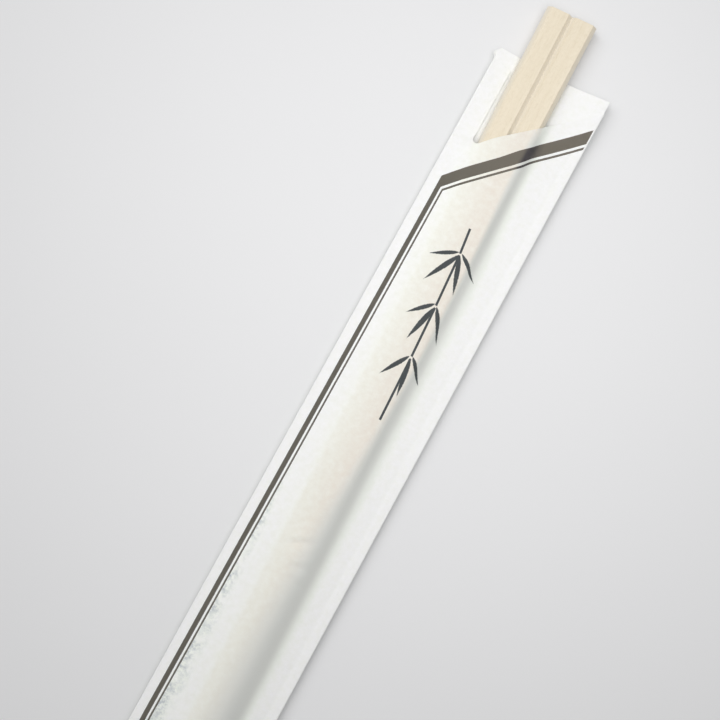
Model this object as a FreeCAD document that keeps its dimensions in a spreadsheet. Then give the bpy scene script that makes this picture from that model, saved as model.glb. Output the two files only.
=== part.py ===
"""Joined pair of disposable wooden chopsticks in a half-open paper sleeve.

Millimetres. The set lies flat: +X runs across it, +Y along it towards the
chopsticks' heads, +Z up. The origin is the middle of the set's box, on the
surface that it lies on. Both pieces are drawn from the sleeve's lower left
corner, and their placements move that corner to its place.
"""
import FreeCAD, Part
import os
from math import atan2

import Sketcher
from FreeCAD import Placement, Rotation, Vector

doc = FreeCAD.newDocument("chopsticks")

# --------------------------------------------------------------------------
# Driving dimensions
# --------------------------------------------------------------------------

SIZES = [
    # the joined pair of chopsticks
    ("pair_length", 203, "tip end to head end"),
    ("head_width", 13.6, "width of the pair at the head"),
    ("tip_width", 10, "width of the pair at the tips"),
    ("wood_thickness", 4.5, "height of the wood"),
    ("edge_chamfer", 1.1, "flat planed along each long outer edge"),
    ("groove_width", 2.1, "V-groove between the two sticks, at the face"),
    ("groove_depth", 1, "depth of that groove in each face"),
    ("slit_width", 0.6, "saw cut that parts the sticks from the tips up"),
    ("slit_length", 142, "how far the saw cut reaches from the tips"),
    ("head_skew", 2.5, "degrees that the head's saw cut is off square"),
    # how the pair lies in the sleeve
    ("head_reach", 15.1, "head end above the back panel's top edge"),
    ("centre_inset", 12.8, "centre line from the left fold, at the top edge"),
    ("lean", 1.15, "degrees that the pair lies askew in the sleeve"),
    # the sleeve
    ("paper", 0.1, "thickness of the sheet"),
    ("sleeve_length", 196, "bottom fold to the back panel's top edge"),
    ("sleeve_width", 31.3, "left fold to right fold, as it lies"),
    ("fold_height", 2, "height of the folds, which stand off the surface"),
    ("ease", 0.05, "room between the wood and the front panel"),
    ("side_ease", 0.3, "room beside the wood before the paper turns"),
    ("left_flank", 2.9, "width of the slope from the wood to the left"),
    ("right_flank", 5.2, "width of the slope from the wood to the right"),
    ("flank_gap", 0.9, "height between the panels where a slope ends"),
    # the front panel's mouth
    ("mouth_angle", 43.2, "degrees that the mouth slopes"),
    ("mouth_drop", 3.3, "top edge down to the mouth, at the right fold"),
    ("strip_width", 5.2, "strip that stands up beside the mouth"),
    ("strip_drop", 4.3, "top edge down to the strip's end"),
    ("notch_radius", 1.6, "round at the bottom of the mouth"),
    # the sheet's glued parts and its clipped corner
    ("lap_width", 2.5, "lap glued inside the right fold"),
    ("tab_length", 6.5, "tab folded up from the bottom onto the back"),
    ("ear_reach", 1, "unfolded ear left of the left fold"),
    ("corner_width", 2, "clipped top left corner, across"),
    ("corner_drop", 2.2, "clipped top left corner, down"),
]

sheet = doc.addObject("Spreadsheet::Sheet", "Sizes")
for row, (alias, size, meaning) in enumerate(SIZES, start=1):
    sheet.set(f"A{row}", str(size))
    sheet.setAlias(f"A{row}", alias)
    sheet.set(f"B{row}", meaning)
doc.recompute()


def on_sheet(text):
    """The expression that text stands for: each {name} is a cell of Sizes."""
    return text.replace("{", "Sizes.").replace("}", "")


def size_of(text):
    """The number that such an expression has now."""
    return float(sheet.evalExpression(on_sheet(text)))


def bind(item, **expressions):
    """Bind an object's properties to expressions on the sheet."""
    for name, text in expressions.items():
        item.setExpression(name.replace("__", "."), on_sheet(text))


# --------------------------------------------------------------------------
# Values that both pieces share, worked out from the sheet
# --------------------------------------------------------------------------

# length that the leaning pair takes up along the sleeve
PAIR_REACH = "({pair_length} * cos({lean}) + {head_width} / 2 * sin({lean}))"
# the tips end this far above the sleeve's bottom fold
TIP_GAP = f"({{sleeve_length}} + {{head_reach}} - {PAIR_REACH})"
# outside of the front panel over the wood
CREST = "(2 * {paper} + {wood_thickness} + {ease})"
# half the height of a fold: front, back, the lap and as much again of air
FOLD_HALF = "(2 * {paper})"
# how far a cutting shape runs past what it cuts
PAST = "1"
# middle of the set's box, from the sleeve's lower left corner
MIDDLE_X = "(({sleeve_width} - {ear_reach}) / 2)"
MIDDLE_Y = "(({sleeve_length} + {head_reach}) / 2)"


def centre_line(height):
    """Place of the pair's centre line across the sleeve, at a height up it."""
    return f"({{centre_inset}} + ({{sleeve_length}} - {height}) * tan({{lean}}))"


def half_crest(height):
    """Half the width of the paper's flat over the wood, at a height up it."""
    share = f"(({height} - {TIP_GAP}) / {{pair_length}})"
    half = f"({{tip_width}} + ({{head_width}} - {{tip_width}}) * {share}) / 2"
    return f"({half} - {{edge_chamfer}} + {{side_ease}})"


# --------------------------------------------------------------------------
# Sketch helpers
# --------------------------------------------------------------------------


def pin(sketch, kind, curve, point, text):
    """Hold a point of a curve at a distance from the sketch's origin."""
    number = sketch.addConstraint(
        Sketcher.Constraint(kind, -1, 1, curve, point, size_of(text)))
    sketch.setExpression(f"Constraints[{number}]", on_sheet(text))


def draw_outline(sketch, corners):
    """Draw a closed outline, anticlockwise, through pairs of expressions.

    Two more items on a corner are the centre of a round that runs from that
    corner to the next one.
    """
    places = [Vector(size_of(c[0]), size_of(c[1]), 0) for c in corners]
    for start, end, corner in zip(places, places[1:] + places[:1], corners):
        if len(corner) == 4:
            centre = Vector(size_of(corner[2]), size_of(corner[3]), 0)
            first, last = (atan2(end.y - centre.y, end.x - centre.x)
                           for end in (start, end))
            circle = Part.Circle(centre, Vector(0, 0, 1), (start - centre).Length)
            sketch.addGeometry(Part.ArcOfCircle(circle, first, last))
        else:
            sketch.addGeometry(Part.LineSegment(start, end))
    for number, corner in enumerate(corners):
        following = (number + 1) % len(corners)
        sketch.addConstraint(
            Sketcher.Constraint("Coincident", number, 2, following, 1))
        pin(sketch, "DistanceX", number, 1, corner[0])
        pin(sketch, "DistanceY", number, 1, corner[1])
        if len(corner) == 4:
            pin(sketch, "DistanceX", number, 3, corner[2])


# --------------------------------------------------------------------------
# Chopsticks: a planed blank, grooved down the middle and sawn from the tips
# --------------------------------------------------------------------------


def body_sketch(body, plane, name, corners):
    """A sketch of a closed outline on one of the body's own planes."""
    sketch = body.newObject("Sketcher::SketchObject", name)
    origin_plane = next(
        item for item in body.Origin.OriginFeatures if item.Role == plane)
    sketch.AttachmentSupport = (origin_plane, "")
    sketch.MapMode = "FlatFace"
    draw_outline(sketch, corners)
    return sketch


def make_chopsticks():
    """The joined pair, drawn with its tips at y = 0 and lying on its back."""
    body = doc.addObject("PartDesign::Body", "chopstick_pair")
    skew = "({head_width} * tan({head_skew}))"
    blank = body.newObject("PartDesign::Pad", "blank")
    blank.Profile = body_sketch(body, "XY_Plane", "blank_outline", [
        ("-{tip_width} / 2", "0"),
        ("{tip_width} / 2", "0"),
        ("{head_width} / 2", "{pair_length}"),
        ("-{head_width} / 2", "{pair_length} - " + skew),
    ])
    bind(blank, Length="{wood_thickness}")
    doc.recompute()

    planed = body.newObject("PartDesign::Chamfer", "planed_edges")
    long_edges = [
        f"Edge{number}"
        for number, edge in enumerate(blank.Shape.Edges, start=1)
        if edge.BoundBox.YLength > blank.Shape.BoundBox.YLength / 2]
    planed.Base = (blank, long_edges)
    bind(planed, Size="{edge_chamfer}")
    doc.recompute()

    for name, face, depth in (
            ("back_groove", "0", "{groove_depth}"),
            ("front_groove", "{wood_thickness}",
             "{wood_thickness} - {groove_depth}")):
        cut = body.newObject("PartDesign::Pocket", name)
        cut.Profile = body_sketch(body, "XZ_Plane", name + "_outline", [
            ("-{groove_width} / 2", face),
            ("0", depth),
            ("{groove_width} / 2", face),
        ])
        cut.Type = "ThroughAll"
        doc.recompute()

    slit = body.newObject("PartDesign::Pocket", "slit")
    slit.Profile = body_sketch(body, "XY_Plane", "slit_outline", [
        ("-{slit_width} / 2", "-" + PAST),
        ("{slit_width} / 2", "-" + PAST),
        ("{slit_width} / 2", "{slit_length}"),
        ("-{slit_width} / 2", "{slit_length}"),
    ])
    slit.Type = "ThroughAll"
    slit.Reversed = True
    doc.recompute()
    body.Placement = Placement(Vector(0, 0, 0), Rotation(Vector(0, 0, 1), 1))
    bind(body,
         Placement__Base__x=f"{centre_line(TIP_GAP)} - {MIDDLE_X}",
         Placement__Base__y=f"{TIP_GAP} - {MIDDLE_Y}",
         Placement__Base__z="{paper}",
         Placement__Rotation__Angle="{lean}")
    return body


# --------------------------------------------------------------------------
# Sleeve: one sheet, folded into a flat tube and glued
# --------------------------------------------------------------------------

# just below the tips: from here up the tube has its full height
TIP_END = f"({TIP_GAP} - {{side_ease}})"
# where the front panel's edges start, down the two folds
STRIP_TOP = "({sleeve_length} - {strip_drop})"
LAP_TOP = "({sleeve_length} - {mouth_drop})"
# underside of the back panel at the folds
FOLD_FOOT = f"({{fold_height}} - {FOLD_HALF})"


def tube_corners(height, flat=False):
    """Outside of the tube at a height up it; flat is where it is pressed."""
    left = f"({centre_line(height)} - {half_crest(height)})"
    right = f"({centre_line(height)} + {half_crest(height)})"
    head = f"({{fold_height}} + {FOLD_HALF})"
    crest, foot, gap = CREST, "0", "{flank_gap} / 2"
    if flat:
        crest, foot, gap = head, FOLD_FOOT, "0"
    return [
        (FOLD_HALF, FOLD_FOOT),
        (f"{left} - {{left_flank}}", f"{FOLD_FOOT} - {gap}"),
        (left, foot),
        (right, foot),
        (f"{right} + {{right_flank}}", f"{FOLD_FOOT} - {gap}"),
        (f"{{sleeve_width}} - {FOLD_HALF}", FOLD_FOOT),
        ("{sleeve_width}", "{fold_height} - {paper}"),
        ("{sleeve_width}", "{fold_height} + {paper}"),
        (f"{{sleeve_width}} - {FOLD_HALF}", head),
        (f"{right} + {{right_flank}}", f"{head} + {gap}"),
        (right, crest),
        (left, crest),
        (f"{left} - {{left_flank}}", f"{head} + {gap}"),
        (FOLD_HALF, head),
        ("0", "{fold_height} + {paper}"),
        ("0", "{fold_height} - {paper}"),
    ]


def cross_section(name, height, flat=False):
    """A sketch of the tube's outside across the sleeve."""
    sketch = doc.addObject("Sketcher::SketchObject", name)
    sketch.Placement = Placement(Vector(), Rotation(Vector(1, 0, 0), 90))
    bind(sketch, Placement__Base__y=height)
    draw_outline(sketch, tube_corners(height, flat))
    return sketch


def inset_section(outside):
    """The same section, one thickness of paper further in."""
    inset = doc.addObject("Part::Offset2D", outside.Name + "_inset")
    inset.Source = outside
    inset.Join = "Intersection"
    bind(inset, Value="-{paper}")
    return inset


def tube(name, sections, lift="0"):
    """A closed solid ruled through sections, lifted by an expression."""
    loft = doc.addObject("Part::Loft", name)
    loft.Sections = sections
    loft.Solid = True
    loft.Ruled = True
    bind(loft, Placement__Base__z=lift)
    return loft


def box(name, **expressions):
    """A Part box whose sizes and place are expressions."""
    block = doc.addObject("Part::Box", name)
    bind(block, **expressions)
    return block


def plate(name, corners, foot, height):
    """A plan outline raised by a height from a foot."""
    sketch = doc.addObject("Sketcher::SketchObject", name + "_outline")
    bind(sketch, Placement__Base__z=foot)
    draw_outline(sketch, corners)
    solid = doc.addObject("Part::Extrusion", name)
    solid.Base = sketch
    solid.DirMode = "Custom"
    solid.Dir = Vector(0, 0, 1)
    solid.Solid = True
    bind(solid, LengthFwd=height)
    return solid


def combine(kind, name, first, second):
    """Part::Cut or Part::Common of two shapes."""
    result = doc.addObject(kind, name)
    result.Base = first
    result.Tool = second
    result.Refine = False
    return result


def fuse(name, shapes):
    """Part::MultiFuse of several shapes."""
    result = doc.addObject("Part::MultiFuse", name)
    result.Shapes = shapes
    result.Refine = False
    return result


def tab_block(sections):
    """The tab glued to the back: the tube's underside, one sheet lower."""
    return combine(
        "Part::Common", "tab_block", tube("tab_skin", sections, "-{paper}"),
        box("tab_room", Length="{sleeve_width}", Width="{tab_length}",
            Height=FOLD_FOOT))


def bottom_fold(outside):
    """The closed bottom edge, filled for one thickness of paper."""
    return combine(
        "Part::Common", "bottom_fold", outside,
        box("fold_room", Length="{sleeve_width}", Width="{paper}",
            Height=CREST))


def side_lap(sections, inside):
    """The lap glued inside the right fold, on the back panel."""
    skin = combine("Part::Cut", "lap_skin", inside,
                   tube("lap_cover", sections, "{paper}"))
    return combine(
        "Part::Common", "side_lap", skin,
        box("lap_room", Placement__Base__x="{sleeve_width} - {lap_width}",
            Length="{lap_width}", Width=LAP_TOP, Height="{fold_height}"))


def corner_ear():
    """The bit of back panel left unfolded above the left fold."""
    root = f"2 * {FOLD_HALF}"
    return plate("corner_ear", [
        ("-{ear_reach}", "{sleeve_length} - {corner_drop}"),
        ("0", STRIP_TOP),
        (root, STRIP_TOP),
        (root, "{sleeve_length}"),
    ], FOLD_FOOT, "{paper}")


def corner_clip():
    """What is cut off the back panel's top left corner."""
    low = "{sleeve_length} - {corner_drop}"
    return plate("corner_clip", [
        ("-{ear_reach}", low),
        ("{corner_width}", "{sleeve_length}"),
        ("{corner_width}", "{sleeve_length} + " + PAST),
        ("-{ear_reach} - " + PAST, "{sleeve_length} + " + PAST),
        ("-{ear_reach} - " + PAST, low),
    ], "0", CREST)


def mouth():
    """What is cut out of the front panel above its slanted edge."""
    sharp = ("({sleeve_length} - {mouth_drop}"
             " - ({sleeve_width} - {strip_width}) * tan({mouth_angle}))")
    centre_x = "({strip_width} + {notch_radius})"
    centre_y = f"({sharp} + {{notch_radius}} / tan((90 - {{mouth_angle}}) / 2))"
    right = "{sleeve_width} + " + PAST
    top = "{sleeve_length} + " + PAST
    return plate("mouth", [
        ("{strip_width}", STRIP_TOP),
        ("{strip_width}", centre_y, centre_x, centre_y),
        (f"{centre_x} + {{notch_radius}} * sin({{mouth_angle}})",
         f"{centre_y} - {{notch_radius}} * cos({{mouth_angle}})"),
        (right, f"{LAP_TOP} + {PAST} * tan({{mouth_angle}})"),
        (right, top),
        ("-" + PAST, top),
        ("-" + PAST, STRIP_TOP),
    ], "{fold_height}", CREST)


def make_sleeve():
    """The folded and glued sheet, from its lower left corner."""
    sections = [
        cross_section("bottom_section", "0", flat=True),
        cross_section("tip_section", TIP_END),
        cross_section("top_section", "{sleeve_length}"),
    ]
    insets = [inset_section(section) for section in sections]
    outside = tube("tube_outside", sections)
    inside = tube("tube_inside", insets)
    walls = combine("Part::Cut", "walls", outside, inside)
    tab = combine("Part::Cut", "bottom_tab", tab_block(sections), inside)
    glued = fuse("glued_sheet", [
        walls, tab, bottom_fold(outside), side_lap(insets, inside),
        corner_ear()])
    opened = combine("Part::Cut", "opened_sheet", glued, mouth())
    clipped = combine("Part::Cut", "clipped_sheet", opened, corner_clip())
    # the room above the surface comes first: its floor makes the back's
    # underside, which the sleeve rests on, one true plane
    room = box("room_above",
               Placement__Base__x="-{ear_reach} - " + PAST,
               Placement__Base__y="-" + PAST,
               Length="{sleeve_width} + {ear_reach} + 2 * " + PAST,
               Width="{sleeve_length} + 2 * " + PAST,
               Height=f"{CREST} + {PAST}")
    sleeve = combine("Part::Common", "paper_sleeve", room, clipped)
    bind(sleeve, Placement__Base__x="-" + MIDDLE_X,
         Placement__Base__y="-" + MIDDLE_Y)
    return sleeve


# --------------------------------------------------------------------------
# Build, check and write
# --------------------------------------------------------------------------

nodes = [make_chopsticks(), make_sleeve()]
doc.recompute()

for item in doc.Objects:
    if "Invalid" in item.State or "Error" in item.State:
        raise RuntimeError(f"{item.Name} failed: {item.State}")
os.makedirs("parts", exist_ok=True)
for node in nodes:
    shape = node.Shape
    if shape.isNull() or not shape.isValid():
        raise RuntimeError(f"{node.Label} has no valid shape")
    if len(shape.Solids) != 1:
        raise RuntimeError(f"{node.Label} is {len(shape.Solids)} solids")
for node in nodes:
    node.Shape.exportStep(f"parts/{node.Label}.step")
    print(node.Label, f"{node.Shape.Volume:.2f} mm3", node.Shape.BoundBox)
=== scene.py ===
"""Disposable wooden chopsticks in a printed paper sleeve."""

from bisect import bisect_right
from math import cos, exp, pi, radians, sin, tan

import bmesh
import bpy
from mathutils import Matrix, Vector, noise


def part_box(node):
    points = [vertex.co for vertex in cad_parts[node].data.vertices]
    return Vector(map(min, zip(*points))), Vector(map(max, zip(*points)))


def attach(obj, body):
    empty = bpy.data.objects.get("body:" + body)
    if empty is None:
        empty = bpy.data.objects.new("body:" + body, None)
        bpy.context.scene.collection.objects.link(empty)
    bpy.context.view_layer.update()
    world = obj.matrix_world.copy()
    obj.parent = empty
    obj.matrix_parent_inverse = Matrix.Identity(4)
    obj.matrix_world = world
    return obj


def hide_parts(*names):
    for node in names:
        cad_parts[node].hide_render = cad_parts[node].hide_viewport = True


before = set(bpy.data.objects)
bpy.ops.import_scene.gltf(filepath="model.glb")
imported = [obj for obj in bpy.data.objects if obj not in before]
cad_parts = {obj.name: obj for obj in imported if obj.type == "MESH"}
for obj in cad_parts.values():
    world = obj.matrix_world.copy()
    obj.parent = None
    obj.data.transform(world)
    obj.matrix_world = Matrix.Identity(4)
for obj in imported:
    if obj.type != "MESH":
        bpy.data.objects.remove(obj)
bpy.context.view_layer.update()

MM = 0.001

# --------------------------------------------------------------------------
# Sizes in mm: x runs from the left fold, h up from the sleeve's bottom fold
# --------------------------------------------------------------------------

sleeve_low, sleeve_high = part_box("paper_sleeve")
pair_low, pair_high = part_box("chopstick_pair")

# the ear at the top left springs out this far past the left fold
EAR_REACH = 1.0
ORIGIN = Vector((sleeve_low.x + EAR_REACH * MM, sleeve_low.y, 0))
WIDTH = (sleeve_high.x - ORIGIN.x) / MM
LENGTH = (sleeve_high.y - sleeve_low.y) / MM

PAPER = 0.1
WOOD_TOP = pair_high.z / MM
CHAMFER = 1.1
# the wood leans in the sleeve; its middle is at this x at the top edge
LEAN_ANGLE = radians(1.15)
LEAN = tan(LEAN_ANGLE)
WOOD_MIDDLE = 12.8
TIP_GAP = (pair_low.y - sleeve_low.y) / MM
TIP_HALF, HEAD_HALF = 5.0, 6.8
PAIR_LENGTH = 203.0

# the folds: half a sheet's bend at the left, one round the lap at the right,
# and how high their middle stands over the table
FOLD_HEIGHT = 2.0
LEFT_BEND = 0.15
RIGHT_BEND = 0.10
LAP = 2.5
TAB = 6.4
# between the middles of two layers that lie on each other
SEAM = PAPER + 0.01
LAP_SEAM = SEAM + 0.02
# the back panel and the lap end just above the bottom fold
BACK_FOOT = 0.12

# the mouth's cut, measured on the flat sheet, all within MOUTH_REACH of
# the top edge
MOUTH_REACH = 32
MOUTH_DROP = 3.3
MOUTH_ANGLE = radians(42.3)
STRIP = 5.25
STRIP_DROP = 4.0
STRIP_FALL = 0.7
NOTCH_RADIUS = 1.6
# the back panel's top edge: level at the left, rising to the right corner
BACK_DROP = 0.5
BACK_LEVEL = 21.5
# the clipped corner above the strip, the width of its ear, and the bend in
# radians that is left in the opened fold there
CORNER_DROP = 2.2
CORNER_WIDTH = 0.7
EAR_WIDTH = 0.85
EAR_BEND = 0.3


def ease(low, high, value):
    """0 at low, 1 at high and smooth between; low may be the larger."""
    share = min(max((value - low) / (high - low), 0.0), 1.0)
    return share * share * (3 - 2 * share)


def blend(first, second, share):
    """The value a share of the way from the first to the second."""
    return first + (second - first) * share


# --------------------------------------------------------------------------
# Sleeve: how the two panels lie over and under the wood
# --------------------------------------------------------------------------


def wood_edges(h):
    """Left and right edge of the wood's top face at a height up the sleeve."""
    centre = WOOD_MIDDLE + (LENGTH - h) * LEAN
    share = (h - TIP_GAP) / PAIR_LENGTH
    half = blend(TIP_HALF, HEAD_HALF, share) - CHAMFER
    return centre - half, centre + half


def waver(x, h, coarse, seed):
    """Soft random waves between -1 and 1, about coarse mm long."""
    return noise.noise(Vector((x / coarse, h / coarse, seed)))


def rounded(knots, x):
    """Height at x of a line through (x, z, round) knots, corners rounded."""
    slope = (knots[1][1] - knots[0][1]) / (knots[1][0] - knots[0][0])
    height = knots[0][1] + slope * (x - knots[0][0])
    for here, after in zip(knots[1:], knots[2:]):
        turn = (after[1] - here[1]) / (after[0] - here[0]) - slope
        slope += turn
        past, reach = x - here[0], here[2]
        if past >= reach:
            height += turn * past
        elif past > -reach:
            height += turn * (past + reach) ** 2 / (4 * reach)
    return height


# small dents where the front panel has been squeezed, each with a low
# ridge beside it:
# place x and h, half length and half width, turn in degrees, depth
DENTS = [
    (15.6, 62.5, 3.2, 0.8, 24, 0.70),
    (17.9, 57.0, 2.6, 0.8, 16, 0.49),
    (19.0, 53.6, 2.4, 0.9, -18, 0.31),
    (17.0, 92.5, 3.4, 0.9, 8, 0.12),
    (18.3, 46.0, 2.2, 0.8, 30, 0.14),
    (13.5, 118.0, 3.0, 1.1, -12, 0.09),
]


def dents(x, h):
    """Depth of the dents at a place on the front panel, below 0 on ridges."""
    depth = 0.0
    for place_x, place_h, half_length, half_width, turn, deep in DENTS:
        c, s = cos(radians(turn)), sin(radians(turn))
        along = (c * (x - place_x) + s * (h - place_h)) / half_length
        across = (c * (h - place_h) - s * (x - place_x)) / half_width
        if abs(along) < 3 and abs(across) < 3:
            depth += (deep * exp(-along ** 2 - across ** 2)
                      * (0.35 - 1.3 * across))
    return depth


# how far the top right corner stands up, and how much the folds waver
CORNER_LIFT = 1.5
FOLD_WAVER = 0.18


def lift(x, h):
    """How far both panels stand up more than the folds' usual height."""
    corner = ease(20, WIDTH, x) * ease(LENGTH - 26, LENGTH, h)
    return (CORNER_LIFT * corner ** 1.3
            + FOLD_WAVER * waver(0, h, 47, 3.1) * ease(6, 0, x)
            + FOLD_WAVER * waver(0, h, 39, 8.4) * ease(24, WIDTH, x))


def looseness(h):
    """How loosely the paper lies over the wood: more towards the tips."""
    return ease(125, 25, h)


class Panels:
    """The front and back panel's middle surfaces at one height.

    Each is a row of knots across the sleeve, as (x, z, rounding).
    """

    def __init__(self, h):
        self.h = h
        wood_left, wood_right = wood_edges(h)
        # the bulge's edges waver a little outside the wood's own
        left = wood_left - 0.3 + 0.22 * waver(0, h, 21, 5.2)
        right = wood_right + 0.35 + 0.15 * waver(0, h, 17, 1.7)
        # both panels are level at the bottom fold and part over the tips
        rise = ease(-1.0, TIP_GAP + 1.5, h)
        front, back = FOLD_HEIGHT + LEFT_BEND, FOLD_HEIGHT - LEFT_BEND
        # on top of the wood, and under it: on the table or on the tab
        crest = WOOD_TOP + PAPER / 2 + 0.05
        foot = PAPER / 2 + SEAM * ease(TAB + 2.0, TAB + 0.2, h)
        # beside the mouth the strip sinks back onto the panel below
        sunk = ease(LENGTH - 29, LENGTH - 22, h)
        # the back panel dips to this height close beside the wood
        hug = blend(back, blend(1.15, 1.5, sunk), rise)
        # towards the tips the paper stands off the wood
        loose = rise * looseness(h)
        self.front_knots = [
            # the left fold, and the arch between it and the wood
            (LEFT_BEND, front, 0),
            (blend(3.8, left - 1.2, sunk),
             blend(front + 1.5 * rise, hug + 0.45, sunk),
             blend(2.0, 0.6, sunk)),
            # the bulge's left edge, its crown and its right edge
            (left - 0.1, blend(front, crest + 0.50 * loose, rise),
             0.6 + 0.8 * loose),
            (blend(left, right, 0.5),
             blend(front, crest + 0.14 + 0.46 * loose, rise), 3.0),
            (right, blend(front, crest + 0.50 * loose, rise),
             0.6 + 1.8 * loose),
            # the foot of the right slope, and the flat beyond it
            (right + 2.0 + 0.4 * loose, blend(front, 2.7, rise),
             1.0 + 0.5 * loose),
            (right + 5.2, front + 0.15 * rise, 1.5),
            # the lap's edge, and the right fold
            (WIDTH - LAP - 0.3, front - 0.04, 0.5),
            (WIDTH - RIGHT_BEND, front + 0.05, 0),
        ]
        self.back_knots = [
            (LEFT_BEND, back, 0),
            (wood_left - 1.3, hug, 0.5),
            # flat under the wood
            (wood_left - 0.15, blend(back, foot, rise), 0.3),
            (wood_right + 0.15, blend(back, foot, rise), 0.3),
            (wood_right + 1.3, hug, 0.5),
            (WIDTH, back, 0),
        ]
        self.front_line = self.trace(self.front)
        self.back_line = self.trace(self.back)

    def front(self, x):
        """Height of the front panel's middle at x."""
        over_wood = ease(4, 9, x) * ease(27, 22, x)
        height = rounded(self.front_knots, x) + lift(x, self.h)
        dent = dents(x, self.h)
        swell = 0.09 + 0.05 * waver(x, self.h, 9, 2.3)
        # pressed down along the edge of the lap inside the right fold
        crease = 0.06 * exp(-((x - WIDTH + LAP + 0.2) / 0.4) ** 2)
        return height + (swell - dent) * over_wood - crease

    def back(self, x):
        """Height of the back panel's middle at x."""
        return rounded(self.back_knots, x) + lift(x, self.h)

    def trace(self, surface, step=0.2):
        """Places and lengths run along a panel, from the left fold."""
        steps = int((WIDTH - LEFT_BEND - RIGHT_BEND) / step)
        places = [blend(LEFT_BEND, WIDTH - RIGHT_BEND, i / steps)
                  for i in range(steps + 1)]
        heights = [surface(x) for x in places]
        run = [0.0]
        for i in range(steps):
            run.append(run[-1] + ((places[i + 1] - places[i]) ** 2
                                  + (heights[i + 1] - heights[i]) ** 2) ** 0.5)
        return places, heights, run

    def at(self, line, share):
        """Place and height at a share of a panel's length."""
        places, heights, run = line
        target = share * run[-1]
        i = min(max(bisect_right(run, target) - 1, 0), len(run) - 2)
        part = (target - run[i]) / (run[i + 1] - run[i])
        return (blend(places[i], places[i + 1], part),
                blend(heights[i], heights[i + 1], part))


middle = Panels(LENGTH / 2)
FRONT = middle.front_line[2][-1]
BACK = middle.back_line[2][-1]
LEFT_TURN = pi * LEFT_BEND / 2
RIGHT_TURN = pi * RIGHT_BEND / 2
# where each part of the flat sheet starts, across it from the left fold
FRONT_START = LEFT_TURN
FRONT_END = FRONT_START + FRONT
RIGHT_FOLD = FRONT_END + RIGHT_TURN
LAP_START = RIGHT_FOLD + RIGHT_TURN
BOTTOM_BEND = (2 * LEFT_BEND + SEAM) / 2
BOTTOM_TURN = pi * BOTTOM_BEND


def folded(s, h, panels):
    """Where a point of the flat sheet lies once it is folded."""
    down = max(-h, 0.0)
    back_h = max(h, BACK_FOOT)
    if s > LAP_START:
        x = WIDTH - RIGHT_BEND - (s - LAP_START)
        z = panels.back(x) + LAP_SEAM
        return Vector((x, back_h, z))
    if s >= FRONT_END:
        start, height = panels.at(panels.front_line, 1.0)
        angle = (s - FRONT_END) / RIGHT_BEND
        point = Vector((start + RIGHT_BEND * sin(angle), h,
                        height - RIGHT_BEND * (1 - cos(angle))))
        if h < 0:
            point = under(point, down)
        return point
    if s >= FRONT_START:
        opened = open_at(h) if s < STRIP else 0.0
        if opened > 0:
            return bent(s, h, panels, opened)
        x, z = panels.at(panels.front_line, (s - FRONT_START) / FRONT)
        point = Vector((x, h, z))
        return under(point, down) if h < 0 else point
    if s > -LEFT_TURN:
        point = bent(s, h, panels, open_at(h))
        return under(point, down) if h < 0 else point
    x, z = panels.at(panels.back_line, (-s - LEFT_TURN) / BACK)
    return Vector((x, back_h, z))


def open_at(h):
    """How far the left fold has opened above the end of the strip."""
    return ease(LENGTH - STRIP_DROP + 0.02, LENGTH - STRIP_DROP + 1.2, h)


def bent(s, h, panels, opened):
    """A point on the left fold's bend or on the ear beyond it."""
    start, height = panels.at(panels.back_line, 0.0)
    turn = blend(pi, EAR_BEND, opened)
    along = min(s + LEFT_TURN, 2 * LEFT_TURN)
    angle = turn * along / (2 * LEFT_TURN)
    radius = 2 * LEFT_TURN / turn
    x = start - radius * sin(angle)
    z = height + radius * (1 - cos(angle))
    ear = max(s - LEFT_TURN, 0.0)
    return Vector((x - ear * cos(turn), h, z + ear * sin(turn)))


def under(point, down):
    """Carry a point of the front panel round the bottom fold, to the tab."""
    angle = min(down / BOTTOM_BEND, pi)
    y = -BOTTOM_BEND * sin(angle)
    z = point.z - BOTTOM_BEND * (1 - cos(angle))
    if down > BOTTOM_TURN:
        y = down - BOTTOM_TURN
        z = back_at(y).back(min(point.x, WIDTH)) - SEAM
    return Vector((point.x, y, z))


panel_rows = {}


def back_at(h):
    """The panels at a height, kept once worked out."""
    key = round(h, 4)
    if key not in panel_rows:
        panel_rows[key] = Panels(h)
    return panel_rows[key]


# --------------------------------------------------------------------------
# Sleeve: the flat sheet and its cuts
# --------------------------------------------------------------------------


def stretch(start, end, step):
    """Even places from start up to end, end left out."""
    count = max(round((end - start) / step), 1)
    return [blend(start, end, i / count) for i in range(count)]


# the sheet's grid, closer together where it bends or is cut
COLUMNS = (
    stretch(-LEFT_TURN - BACK, -LEFT_TURN - 1.0, 0.62)
    + stretch(-LEFT_TURN - 1.0, -LEFT_TURN, 0.34)
    + stretch(-LEFT_TURN, 0.0, 0.08) + stretch(0.0, LEFT_TURN, 0.08)
    + stretch(LEFT_TURN, 1.0, 0.26) + stretch(1.0, STRIP, 0.4)
    + stretch(STRIP, FRONT_END, 0.4)
    + stretch(FRONT_END, RIGHT_FOLD, 0.06)
    + stretch(RIGHT_FOLD, LAP_START, 0.06)
    + stretch(LAP_START, LAP_START + LAP, 0.5) + [LAP_START + LAP])
ROWS = (
    stretch(-BOTTOM_TURN - TAB, -BOTTOM_TURN, 0.8)
    + stretch(-BOTTOM_TURN, 0.0, 0.13)
    + stretch(0.0, 10.0, 0.8)
    + stretch(10.0, LENGTH - MOUTH_REACH, 1.0)
    + stretch(LENGTH - MOUTH_REACH, LENGTH - STRIP_DROP, 0.7)
    + stretch(LENGTH - STRIP_DROP, LENGTH - MOUTH_DROP, 0.35)
    + stretch(LENGTH - MOUTH_DROP, LENGTH - BACK_DROP, 0.4)
    + [LENGTH - BACK_DROP, LENGTH])


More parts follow.
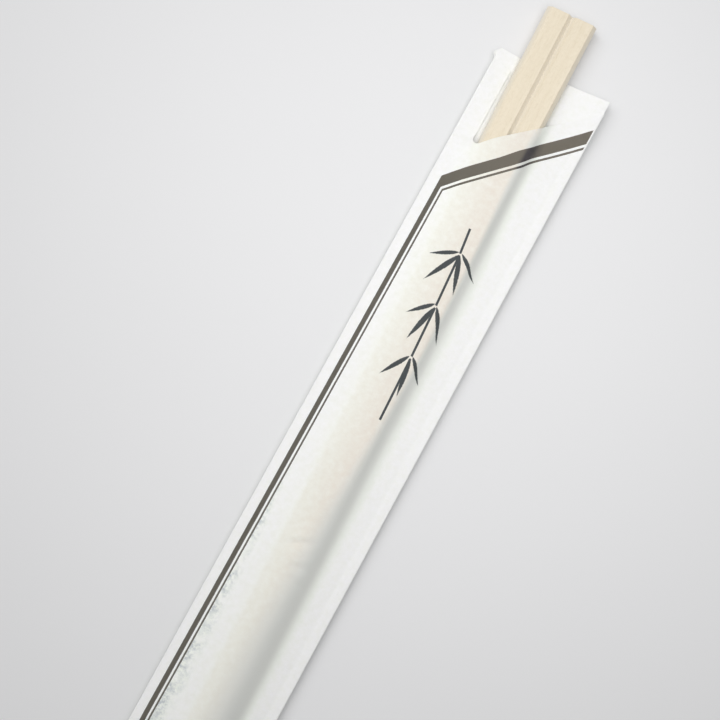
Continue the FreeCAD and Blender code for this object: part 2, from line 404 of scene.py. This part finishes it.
def mouth_lines():
    """Lines (point, direction into the opening) that bound the mouth."""
    slope = Vector((cos(MOUTH_ANGLE), sin(MOUTH_ANGLE)))
    corner = Vector((RIGHT_FOLD, LENGTH - MOUTH_DROP))
    low = corner - slope * (RIGHT_FOLD - STRIP) / slope.x
    half = (pi / 2 - MOUTH_ANGLE) / 2
    centre = low + Vector((1, 1 / tan(half))) * NOTCH_RADIUS
    lines = [(corner, Vector((-slope.y, slope.x)))]
    chords = 8
    for i in range(chords):
        first, last = (pi + (pi / 2 + MOUTH_ANGLE) * (i + end) / chords
                       for end in (0, 1))
        turn = (first + last) / 2
        inward = -Vector((cos(turn), sin(turn)))
        point = centre + NOTCH_RADIUS * Vector((cos(first), sin(first)))
        lines.append((point, inward))
    return lines


MOUTH = mouth_lines()
EAR_FOOT = Vector((0.0, LENGTH - STRIP_DROP))
EAR_TIP = Vector((EAR_WIDTH, LENGTH - CORNER_DROP))
CLIP_END = Vector((-CORNER_WIDTH, LENGTH - BACK_DROP))
STRIP_END = Vector((STRIP, LENGTH - STRIP_DROP - STRIP_FALL))
BACK_BEND = Vector((-BACK_LEVEL, LENGTH - BACK_DROP))
BACK_CORNER = Vector((-BACK - LEFT_TURN, LENGTH))


def square_to(start, end):
    """Direction square to a line, on its right as it runs."""
    along = (end - start).normalized()
    return Vector((along.y, -along.x))


EAR = [(EAR_FOOT, square_to(EAR_FOOT, EAR_TIP)),
       (EAR_TIP, square_to(EAR_TIP, CLIP_END))]
STRIP_TOP = (STRIP_END, square_to(STRIP_END, EAR_FOOT))
BACK_TOP = (BACK_BEND, square_to(BACK_BEND, BACK_CORNER))


def beyond(point, line):
    """True where a point is on the side that a line's direction shows."""
    return (point - line[0]).dot(line[1]) > 0


def split(sheet, line, low, high):
    """Cut new edges along a line, in the faces between two corners."""
    faces = [f for f in sheet.faces
             if all(a < c < b for a, c, b in
                    zip(low, f.calc_center_median(), high))]
    edges = {e for f in faces for e in f.edges}
    verts = {v for f in faces for v in f.verts}
    bmesh.ops.bisect_plane(
        sheet, geom=faces + list(edges) + list(verts), dist=0.02,
        plane_co=(*line[0], 0), plane_no=(*line[1], 0))


def cut_away(centre):
    """True for a place on the grid that isn't part of the cut sheet."""
    s, h = centre
    if h < 0:
        return s < 0 or s > RIGHT_FOLD
    if s > RIGHT_FOLD:
        return h > LENGTH - MOUTH_DROP
    if s > STRIP and all(beyond(centre, line) for line in MOUTH):
        return True
    if s < -BACK_LEVEL:
        return beyond(centre, BACK_TOP)
    if s < 0:
        return h > LENGTH - BACK_DROP or (
            s > -CORNER_WIDTH and beyond(centre, EAR[1]))
    if s < STRIP and beyond(centre, STRIP_TOP):
        return any(beyond(centre, line) for line in EAR)
    return False


def flat_sheet():
    """The cut sheet, still flat, in mm."""
    sheet = bmesh.new()
    across, up = len(COLUMNS) - 1, len(ROWS) - 1
    bmesh.ops.create_grid(sheet, x_segments=across, y_segments=up, size=1)
    for vert in sheet.verts:
        column = round((vert.co.x + 1) / 2 * across)
        row = round((vert.co.y + 1) / 2 * up)
        vert.co = (COLUMNS[column], ROWS[row], 0)
    split(sheet, MOUTH[0], (STRIP, LENGTH - MOUTH_REACH, -1),
          (RIGHT_FOLD, LENGTH, 1))
    notch = MOUTH[1][0]
    for line in MOUTH[1:]:
        split(sheet, line, (STRIP, notch.y - 3, -1),
              (STRIP + 3.2, notch.y + 0.6, 1))
    split(sheet, STRIP_TOP, (0, LENGTH - 6, -1), (STRIP, LENGTH, 1))
    split(sheet, EAR[0], (0, LENGTH - STRIP_DROP, -1), (1.6, LENGTH, 1))
    split(sheet, EAR[1], (-2.5, LENGTH - STRIP_DROP, -1), (1.6, LENGTH, 1))
    split(sheet, BACK_TOP, (BACK_CORNER.x, LENGTH - 2, -1),
          (-BACK_LEVEL, LENGTH, 1))
    spare = [f for f in sheet.faces
             if cut_away(f.calc_center_median().to_2d())]
    bmesh.ops.delete(sheet, geom=spare, context="FACES")
    return sheet


def wood_warmth_and_shade(x, z, h):
    """How much of the wood's warmth and of painted shade shows in the front
    panel, 0 to 1.
    """
    left, right = wood_edges(h)
    if h < TIP_GAP:
        return 0.0
    beside = max(left - x, x - right, 0.0)
    gap = z - PAPER / 2 - (WOOD_TOP - min(beside, CHAMFER))
    # painted shade: the tint grows from half strength at the wood's left edge
    # to full near its right edge, standing in for the shade on that side
    shade_to_right = blend(0.5, 1.0, ease(left - 1.0, blend(left, right, 0.9), x))
    # past a gap of 0.45 mm the warmth and the painted shade fade over 1.2 mm
    return (shade_to_right * exp(-max(gap - 0.45, 0.0) / 1.2)
            * ease(left - 4.5, left + 0.6, x)
            * ease(CHAMFER, 0.5, x - right))


def painted_hollow_shade(x, h):
    """Painted shade: 1 over the hollow along the wood's right side, 0 away
    from it.
    """
    right = wood_edges(h)[1] + CHAMFER
    # towards the mouth the paper leaves the wood a little sooner
    right -= 1.3 * ease(LENGTH - 60, LENGTH - 25, h)
    loose = looseness(h)
    # the painted shade is weaker at the mouth's edge, where light comes in
    # under the front panel
    lit = blend(0.35, 1.0, ease(LENGTH - 14, LENGTH - 21, h))
    return (ease(right - 1.1 - 7.6 * loose, right + 0.4 - 1.2 * loose, x)
            * ease(right + 5.0, right + 1.1, x) * ease(TIP_GAP, 8, h) * lit)


def make_sleeve():
    """The folded sleeve, with its flat places kept as a UV map in metres."""
    sheet = flat_sheet()
    flat_map = sheet.loops.layers.uv.new("Sheet")
    warmth_and_shade = sheet.verts.layers.float.new("wood_warmth_and_shade")
    hollow = sheet.verts.layers.float.new("painted_hollow_shade")
    for face in sheet.faces:
        face.smooth = True
        for loop in face.loops:
            loop[flat_map].uv = loop.vert.co.xy * MM
    for edge in sheet.edges:
        if edge.is_boundary:
            edge.smooth = False
    for vert in sheet.verts:
        s, h, _ = vert.co
        point = folded(s, h, back_at(max(h, 0.0)))
        # the front panel's points keep the wood's warmth with its painted
        # shade, and the painted shade over the hollow
        if FRONT_START < s < FRONT_END and h > 0:
            vert[warmth_and_shade] = wood_warmth_and_shade(point.x, point.z, h)
            vert[hollow] = painted_hollow_shade(point.x, h)
        vert.co = point * MM + ORIGIN
    mesh = bpy.data.meshes.new("sleeve")
    sheet.to_mesh(mesh)
    sheet.free()
    paper = bpy.data.objects.new("sleeve", mesh)
    bpy.context.scene.collection.objects.link(paper)
    wall = paper.modifiers.new("paper thickness", "SOLIDIFY")
    wall.thickness = PAPER * MM
    wall.offset = 0
    wall.use_even_offset = False
    # the sheet's other side takes the next material, which has no print
    wall.material_offset = 1
    return paper


# --------------------------------------------------------------------------
# Materials
# --------------------------------------------------------------------------


def colour(hex_code):
    """A linear colour from an sRGB hex value."""
    parts = [int(hex_code[i:i + 2], 16) / 255 for i in (1, 3, 5)]
    return (*[p / 12.92 if p <= 0.04045 else ((p + 0.055) / 1.055) ** 2.4
              for p in parts], 1.0)


def add(tree, kind, inputs=None, **settings):
    """Add a node; its inputs are values or the sockets they link from."""
    node = tree.nodes.new(kind)
    for name, value in settings.items():
        setattr(node, name, value)
    for name, value in (inputs or {}).items():
        if isinstance(value, bpy.types.NodeSocket):
            tree.links.new(value, node.inputs[name])
        else:
            node.inputs[name].default_value = value
    return node.outputs


def new_material(name):
    """An empty material and its node tree."""
    material = bpy.data.materials.new(name)
    material.use_nodes = True
    material.node_tree.nodes.clear()
    return material, material.node_tree


# the printed band and line on the flat sheet, in mm: how far the band
# starts from the left fold and from the mouth, and both stripes as
# (offset, width) along the side and along the mouth
BAND_SIDE = 3.10
BAND_DROP = 7.9
# from BAND_TOP down the band draws nearer to the fold, by this much a mm
BAND_LEAN = 0.0042
BAND_TOP = 37
STRIPES = [((0, 1.25), (0, 2.82)), ((1.78, 0.45), (3.45, 0.55))]
LINE_EDGE = sum(STRIPES[1][0])
# the print stops this far short of the right fold
BAND_STOP = 0.42
# how far the ink wanders along the fibres
INK_SPREAD = 0.12

# a sprig of bamboo: leaves as (x, d, length, half width, turn in degrees)
# from the leaf's foot, d in mm below the top edge
LEAVES = [
    (16.9, 53.0, 12.5, 1.05, -118),
    (16.9, 53.2, 11.5, 1.00, -72),
    (17.0, 52.6, 9.5, 0.85, -35),
    (16.4, 52.6, 8.5, 0.80, -150),
    (17.6, 67.5, 12.0, 1.10, -104),
    (17.8, 67.2, 11.0, 0.95, -58),
    (17.3, 66.8, 8.5, 0.85, -136),
    (18.3, 81.5, 11.5, 1.00, -82),
    (18.5, 81.0, 8.8, 0.85, -46),
    (17.9, 81.2, 9.8, 0.90, -122),
]
# the stalk's joints as (x, d), from the top down
STALK = [(15.9, 46.0), (16.7, 53.0), (17.6, 67.5), (18.3, 81.5), (18.9, 99.0)]


def stripe_ink(tree, side, slant):
    """1 on the band and the thin line, which both turn at the mouth."""
    inked = 0.0
    for stripe in STRIPES:
        shares = [add(tree, "ShaderNodeMapRange", {
            "Value": distance, "From Min": start, "From Max": start + width},
            clamp=False)[0]
            for distance, (start, width) in zip((side, slant), stripe)]
        share = add(tree, "ShaderNodeMath", {0: shares[0], 1: shares[1]},
                    operation="MINIMUM")[0]
        on = add(tree, "ShaderNodeMath", {0: share, 1: 0.5, 2: 0.5},
                 operation="COMPARE")[0]
        inked = add(tree, "ShaderNodeMath", {0: inked, 1: on},
                    operation="MAXIMUM")[0]
    return inked


def leaf_ink(tree, place, x, d, length, half, turn):
    """Above 0 inside a pointed leaf, widest a third of the way along."""
    local = add(tree, "ShaderNodeMapping", {
        "Vector": place, "Location": (x, d, 0),
        "Rotation": (0, 0, radians(-turn)), "Scale": (length, half, 1)},
        vector_type="TEXTURE")[0]
    along, across, _ = add(tree, "ShaderNodeSeparateXYZ", {0: local})
    start = add(tree, "ShaderNodeMath", {0: along, 1: 0.0},
                operation="MAXIMUM")[0]
    swell = add(tree, "ShaderNodeMath", {0: start, 1: 0.55},
                operation="POWER")[0]
    taper = add(tree, "ShaderNodeMath", {0: along, 1: -2.4, 2: 2.4},
                operation="MULTIPLY_ADD")[0]
    edge = add(tree, "ShaderNodeMath", {0: swell, 1: taper, 2: -0.25},
               operation="MULTIPLY_ADD")[0]
    off = add(tree, "ShaderNodeMath", {0: across}, operation="ABSOLUTE")[0]
    return add(tree, "ShaderNodeMath", {0: edge, 1: off},
               operation="SUBTRACT")[0]


def stalk_ink(tree, place, start, end):
    """Above 0 inside a length of stalk, with a gap at either end."""
    along = Vector(end) - Vector(start)
    local = add(tree, "ShaderNodeMapping", {
        "Vector": place, "Location": (*start, 0),
        "Rotation": (0, 0, along.angle_signed(Vector((1, 0)))),
        "Scale": (along.length, 0.30, 1)}, vector_type="TEXTURE")[0]
    # measured from the middle, so that both ends and both sides count alike
    centred = add(tree, "ShaderNodeVectorMath", {
        0: local, 1: (-0.5, 0, 0)})[0]
    apart = add(tree, "ShaderNodeVectorMath", {0: centred},
                operation="ABSOLUTE")[0]
    ahead, beside, _ = add(tree, "ShaderNodeSeparateXYZ", {0: apart})
    ends = add(tree, "ShaderNodeMath", {0: ahead, 1: -24.0, 2: 11.5},
               operation="MULTIPLY_ADD")[0]
    sides = add(tree, "ShaderNodeMath", {0: 1.0, 1: beside},
                operation="SUBTRACT")[0]
    return add(tree, "ShaderNodeMath", {0: ends, 1: sides},
               operation="MINIMUM")[0]


def sprig_ink(tree, place, spread):
    """1 on the sprig of bamboo, with slightly frayed edges."""
    shapes = [leaf_ink(tree, place, *leaf) for leaf in LEAVES]
    shapes += [stalk_ink(tree, place, start, end)
               for start, end in zip(STALK, STALK[1:])]
    inside = shapes[0]
    for shape in shapes[1:]:
        inside = add(tree, "ShaderNodeMath", {0: inside, 1: shape},
                     operation="MAXIMUM")[0]
    frayed = add(tree, "ShaderNodeMath", {0: spread, 1: 0.3, 2: inside},
                 operation="MULTIPLY_ADD")[0]
    return add(tree, "ShaderNodeMapRange", {
        "Value": frayed, "From Min": 0.09, "From Max": 0.21})[0]


def wash_ink(tree, place, off_line, below):
    """How much of the pale stippled wash lies beside the thin line."""
    tufts = add(tree, "ShaderNodeTexNoise", {
        "Vector": place, "Scale": 0.8, "Detail": 4.0, "Roughness": 0.7})[0]
    clumps = add(tree, "ShaderNodeTexNoise", {
        "Vector": place, "Scale": 0.3, "Detail": 1.0})[0]
    width = add(tree, "ShaderNodeMapRange", {
        "Value": below, "From Min": 115.0, "From Max": 190.0,
        "To Min": 1.0, "To Max": 5.0})[0]
    wash = add(tree, "ShaderNodeMapRange", {
        "Value": off_line, "From Min": 0.0, "From Max": width,
        "To Min": 1.0, "To Max": 0.0})[0]
    starts = add(tree, "ShaderNodeMapRange", {
        "Value": below, "From Min": 105.0, "From Max": 140.0})[0]
    beyond_line = add(tree, "ShaderNodeMath", {0: off_line, 1: 0.02},
                      operation="GREATER_THAN")[0]
    tufted = add(tree, "ShaderNodeMapRange", {
        "Value": tufts, "From Min": 0.38, "From Max": 0.62})[0]
    clumped = add(tree, "ShaderNodeMapRange", {
        "Value": clumps, "From Min": 0.28, "From Max": 0.56})[0]
    for share in (starts, beyond_line, tufted, clumped):
        wash = add(tree, "ShaderNodeMath", {0: wash, 1: share},
                   operation="MULTIPLY")[0]
    return wash


def make_paper(name, with_print):
    """Machine-glazed white kraft paper of about 30 g/m2.

    It looks bright and nearly matt, faintly cloudy where its fibres lie
    unevenly, and the wood that it touches shows through as a warm tint,
    deepened by painted shade towards the wood's right side. A painted shade
    also greys it, and darkens its band, over the hollow beside the wood.
    """
    material, tree = new_material(name)
    flat = add(tree, "ShaderNodeUVMap", uv_map="Sheet")[0]
    # the map holds metres of flat sheet; patterns are drawn in mm
    flat = add(tree, "ShaderNodeMapping", {
        "Vector": flat, "Scale": (1 / MM, 1 / MM, 1)})[0]
    across, up, _ = add(tree, "ShaderNodeSeparateXYZ", {0: flat})
    below = add(tree, "ShaderNodeMath", {0: LENGTH, 1: up},
                operation="SUBTRACT")[0]

    # fibre clouds 1 to 2 mm across
    clouds = add(tree, "ShaderNodeTexNoise", {
        "Vector": flat, "Scale": 0.65, "Detail": 4.0, "Roughness": 0.66})[0]
    cloudy = add(tree, "ShaderNodeMapRange", {
        "Value": clouds, "From Min": 0.3, "From Max": 0.7})[0]
    shade = add(tree, "ShaderNodeMix", {
        "Factor": cloudy, "A": colour("#F5F9F0"), "B": colour("#FCFFF9")},
        data_type="RGBA")["Result"]
    # the wood's warm tint showing through, deepened by painted shade towards
    # the wood's right edge
    warmth_and_shade = add(tree, "ShaderNodeAttribute",
                attribute_name="wood_warmth_and_shade")["Fac"]
    uneven = add(tree, "ShaderNodeMath", {0: cloudy, 1: -0.35, 2: 1.02},
                 operation="MULTIPLY_ADD")[0]
    patchy = add(tree, "ShaderNodeMath", {0: warmth_and_shade, 1: uneven},
                 operation="MULTIPLY")[0]
    shade = add(tree, "ShaderNodeMix", {
        "Factor": patchy, "A": shade, "B": colour("#EAE3DA")},
        data_type="RGBA")["Result"]
    # painted shade: greyer over the hollow beside the wood's right side, where
    # nothing pale lies close below the paper
    beside = add(tree, "ShaderNodeAttribute",
                 attribute_name="painted_hollow_shade")["Fac"]
    shade = add(tree, "ShaderNodeMix", {
        "Factor": beside, "A": shade, "B": colour("#DFE0DC")},
        data_type="RGBA")["Result"]
    if with_print:
        place = add(tree, "ShaderNodeCombineXYZ", {"X": across, "Y": below})[0]
        # ink spreads a little along the fibres, so no edge is quite straight
        spread = add(tree, "ShaderNodeTexNoise", {
            "Vector": place, "Scale": 2.2, "Detail": 2.0,
            "Roughness": 0.6})[0]
        wander = add(tree, "ShaderNodeMath", {
            0: spread, 1: INK_SPREAD, 2: across},
            operation="MULTIPLY_ADD")[0]
        side = add(tree, "ShaderNodeMath", {
            0: below, 1: BAND_LEAN, 2: wander}, operation="MULTIPLY_ADD")[0]
        side = add(tree, "ShaderNodeMath", {
            0: side, 1: BAND_SIDE + BAND_LEAN * BAND_TOP + INK_SPREAD / 2},
            operation="SUBTRACT")[0]
        slant = add(tree, "ShaderNodeMath", {0: wander, 1: below},
                    operation="ADD")[0]
        slant = add(tree, "ShaderNodeMath", {
            0: slant, 1: cos(pi / 4),
            2: -(BAND_DROP + RIGHT_FOLD + INK_SPREAD / 2) * cos(pi / 4)},
            operation="MULTIPLY_ADD")[0]
        off_line = add(tree, "ShaderNodeMath", {0: side, 1: LINE_EDGE},
                       operation="SUBTRACT")[0]
        before_fold = add(tree, "ShaderNodeMath", {
            0: across, 1: RIGHT_FOLD - BAND_STOP}, operation="LESS_THAN")[0]
        stripes = add(tree, "ShaderNodeMath", {
            0: stripe_ink(tree, side, slant), 1: before_fold},
            operation="MULTIPLY")[0]
        # the band's olive brown is thinner along the mouth, and painted shade
        # makes it darker over the hollow, where no pale wood lies under it
        away = add(tree, "ShaderNodeMapRange", {
            "Value": below, "From Min": 28.0, "From Max": 42.0})[0]
        band_tone = add(tree, "ShaderNodeMix", {
            "Factor": away, "A": colour("#777166"), "B": colour("#68645A")},
            data_type="RGBA")["Result"]
        painted_band_shade = add(tree, "ShaderNodeMath", {0: beside, 1: 2.0},
                       operation="POWER")[0]
        band_tone = add(tree, "ShaderNodeMix", {
            "Factor": painted_band_shade, "A": band_tone, "B": colour("#4C484A")},
            data_type="RGBA")["Result"]
        # a blue-grey wash, both stripes, and the sprig's cooler brush ink
        for ink, tone in (
                (wash_ink(tree, place, off_line, below), colour("#B9BEC5")),
                (stripes, band_tone),
                (sprig_ink(tree, place, spread), colour("#4A4F51"))):
            shade = add(tree, "ShaderNodeMix", {
                "Factor": ink, "A": shade, "B": tone},
                data_type="RGBA")["Result"]
    # the felt of short fibres, drawn as coarse as it needs to show
    fibres = add(tree, "ShaderNodeMapping", {
        "Vector": flat, "Scale": (1.0, 0.55, 1)})[0]
    felt = add(tree, "ShaderNodeTexNoise", {
        "Vector": fibres, "Scale": 1.6, "Detail": 5.0, "Roughness": 0.65})[0]
    bump = add(tree, "ShaderNodeBump", {
        "Height": felt, "Strength": 0.35, "Distance": 0.05 * MM})[0]
    rough = add(tree, "ShaderNodeMapRange", {
        "Value": clouds, "To Min": 0.62, "To Max": 0.78})[0]
    # thin enough that about a third of the light comes through
    surface = add(tree, "ShaderNodeBsdfPrincipled", {
        "Base Color": shade, "Normal": bump, "Roughness": rough,
        "Specular IOR Level": 0.3, "Subsurface Weight": 1.0,
        "Subsurface Radius": (1, 1, 1), "Subsurface Scale": 0.04 * MM})[0]
    add(tree, "ShaderNodeOutputMaterial", {"Surface": surface})
    return material


def make_wood():
    """Planed white aspen, unfinished.

    Pale cream and matt, with fine darker fibre flecks along the sticks,
    and a painted shade that greys the groove and the chamfers.
    """
    material, tree = new_material("white_aspen_planed")
    place = add(tree, "ShaderNodeTexCoord")["Object"]
    place = add(tree, "ShaderNodeMapping", {
        "Vector": place, "Scale": (1 / MM, 1 / MM, 1 / MM),
        "Rotation": (0, 0, -LEAN_ANGLE)})[0]
    # growth bands about 2 mm wide that run the length of the sticks
    long_way = add(tree, "ShaderNodeMapping", {
        "Vector": place, "Scale": (0.5, 0.012, 0.5)})[0]
    bands = add(tree, "ShaderNodeTexNoise", {
        "Vector": long_way, "Scale": 1.0, "Detail": 4.0,
        "Roughness": 0.6})[0]
    # vessels: flecks 0.2 mm wide and about 2 mm long
    fleck_way = add(tree, "ShaderNodeMapping", {
        "Vector": place, "Scale": (3.2, 0.4, 3.2)})[0]
    flecks = add(tree, "ShaderNodeTexNoise", {
        "Vector": fleck_way, "Scale": 1.0, "Detail": 3.0,
        "Roughness": 0.65})[0]
    speck = add(tree, "ShaderNodeTexNoise", {
        "Vector": place, "Scale": 1.1, "Detail": 3.0, "Roughness": 0.7})[0]
    tone = add(tree, "ShaderNodeMapRange", {
        "Value": bands, "From Min": 0.3, "From Max": 0.7})[0]
    shade = add(tree, "ShaderNodeMix", {
        "Factor": tone, "A": colour("#E9DDC6"), "B": colour("#EFE4CF")},
        data_type="RGBA")["Result"]
    fleck = add(tree, "ShaderNodeMapRange", {
        "Value": flecks, "From Min": 0.52, "From Max": 0.75,
        "To Max": 0.45})[0]
    shade = add(tree, "ShaderNodeMix", {
        "Factor": fleck, "A": shade, "B": colour("#D9CBB0")},
        data_type="RGBA")["Result"]
    mottle = add(tree, "ShaderNodeMapRange", {
        "Value": speck, "From Min": 0.45, "From Max": 0.75,
        "To Max": 0.4})[0]
    shade = add(tree, "ShaderNodeMix", {
        "Factor": mottle, "A": shade, "B": colour("#DDD0B8")},
        data_type="RGBA")["Result"]
    # painted shade: the groove and the chamfers, below the top face, are a
    # little greyer
    height = add(tree, "ShaderNodeSeparateXYZ", {0: place})["Z"]
    sunk = add(tree, "ShaderNodeMapRange", {
        "Value": height, "From Min": WOOD_TOP - 0.05,
        "From Max": WOOD_TOP - 0.8, "To Max": 0.6})[0]
    shade = add(tree, "ShaderNodeMix", {
        "Factor": sunk, "A": shade, "B": colour("#E0DACE")},
        data_type="RGBA")["Result"]
    bump = add(tree, "ShaderNodeBump", {
        "Height": flecks, "Strength": 0.4, "Distance": 0.04 * MM})[0]
    rough = add(tree, "ShaderNodeMapRange", {
        "Value": flecks, "To Min": 0.55, "To Max": 0.75})[0]
    surface = add(tree, "ShaderNodeBsdfPrincipled", {
        "Base Color": shade, "Normal": bump, "Roughness": rough,
        "Specular IOR Level": 0.3})[0]
    add(tree, "ShaderNodeOutputMaterial", {"Surface": surface})
    return material


def make_table():
    """A matt white laminate table."""
    material, tree = new_material("white_laminate")
    place = add(tree, "ShaderNodeTexCoord")["Object"]
    faint = add(tree, "ShaderNodeTexNoise", {
        "Vector": place, "Scale": 14.0, "Detail": 2.0})[0]
    shade = add(tree, "ShaderNodeMix", {
        "Factor": faint, "A": colour("#EAEAEB"), "B": colour("#ECECED")},
        data_type="RGBA")["Result"]
    surface = add(tree, "ShaderNodeBsdfPrincipled", {
        "Base Color": shade, "Roughness": 0.9, "Specular IOR Level": 0.1})[0]
    add(tree, "ShaderNodeOutputMaterial", {"Surface": surface})
    return material


# --------------------------------------------------------------------------
# Pieces
# --------------------------------------------------------------------------

sleeve = make_sleeve()
sleeve.data.materials.append(make_paper("white_kraft_printed", True))
sleeve.data.materials.append(make_paper("white_kraft_plain", False))
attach(sleeve, "root")
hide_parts("paper_sleeve")

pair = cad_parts["chopstick_pair"]
wood = make_wood()
for slot in pair.material_slots:
    slot.material = wood

# --------------------------------------------------------------------------
# Table, light and camera
# --------------------------------------------------------------------------

floor_mesh = bpy.data.meshes.new("table")
floor_shape = bmesh.new()
bmesh.ops.create_grid(floor_shape, x_segments=1, y_segments=1, size=1.5)
floor_shape.to_mesh(floor_mesh)
floor_shape.free()
floor_mesh.materials.append(make_table())
table = bpy.data.objects.new("table", floor_mesh)
# a little under the paper, so that the two surfaces never meet
table.location.z = -0.02 * MM
bpy.context.scene.collection.objects.link(table)

# the view is turned so that the sleeve leans to the right: the view's right
# and up, the place looked at, and how far back the camera stands
TURN = radians(28.66)
RIGHTWARD = Vector((cos(TURN), sin(TURN), 0))
UPWARD = Vector((-sin(TURN), cos(TURN), 0))
AIM = Vector((-8.05, 2.64, 2.0)) * MM
BACKED_OFF = Vector((0, -30.6, 323.6)) * MM


def aim(thing, place, target, up):
    """Place a lamp or camera so that it looks at a target."""
    back = (place - target).normalized()
    side = up.cross(back).normalized()
    top = back.cross(side)
    turned = Matrix((side, top, back)).transposed()
    thing.matrix_world = Matrix.Translation(place) @ turned.to_4x4()


world = bpy.data.worlds.new("room")
bpy.context.scene.world = world
world.use_nodes = True
room = world.node_tree
room.nodes.clear()
# the room lights the table softly, and is seen as a pale wall
rays = add(room, "ShaderNodeLightPath")
seen = rays["Is Camera Ray"]
for ray in ("Is Glossy Ray", "Is Transmission Ray"):
    seen = add(room, "ShaderNodeMath", {0: seen, 1: rays[ray]},
               operation="MAXIMUM")[0]
strength = add(room, "ShaderNodeMapRange", {
    "Value": seen, "To Min": 0.32, "To Max": 0.82})[0]
ambient = add(room, "ShaderNodeBackground", {
    "Color": colour("#FFFFFF"), "Strength": strength})[0]
add(room, "ShaderNodeOutputWorld", {"Surface": ambient})


def light(name, size, watts, place, target):
    """A soft square lamp that shines at a target."""
    data = bpy.data.lights.new(name, "AREA")
    data.size, data.energy = size, watts
    lamp = bpy.data.objects.new(name, data)
    lamp.visible_camera = False
    bpy.context.scene.collection.objects.link(lamp)
    aim(lamp, place, target, UPWARD)


# a window beyond the sleeve's top left, and a small softbox that hangs over
# the sleeve's upper half and shines straight down
light("window", 0.7, 3.2,
      AIM + UPWARD * 0.41 - RIGHTWARD * 0.55 + Vector((0, 0, 0.82)), AIM)
over_sleeve = AIM + UPWARD * 0.045 + RIGHTWARD * 0.03 + Vector((0, 0, 0.20))
light("softbox", 0.2, 0.266, over_sleeve,
      Vector((over_sleeve.x, over_sleeve.y, 0)))

camera_data = bpy.data.cameras.new("camera")
camera_data.lens, camera_data.sensor_width = 65.6, 36
camera = bpy.data.objects.new("camera", camera_data)
bpy.context.scene.collection.objects.link(camera)
bpy.context.scene.camera = camera
aim(camera, AIM + BACKED_OFF, AIM, UPWARD)
bpy.context.scene.view_settings.view_transform = "Standard"

bpy.context.view_layer.update()
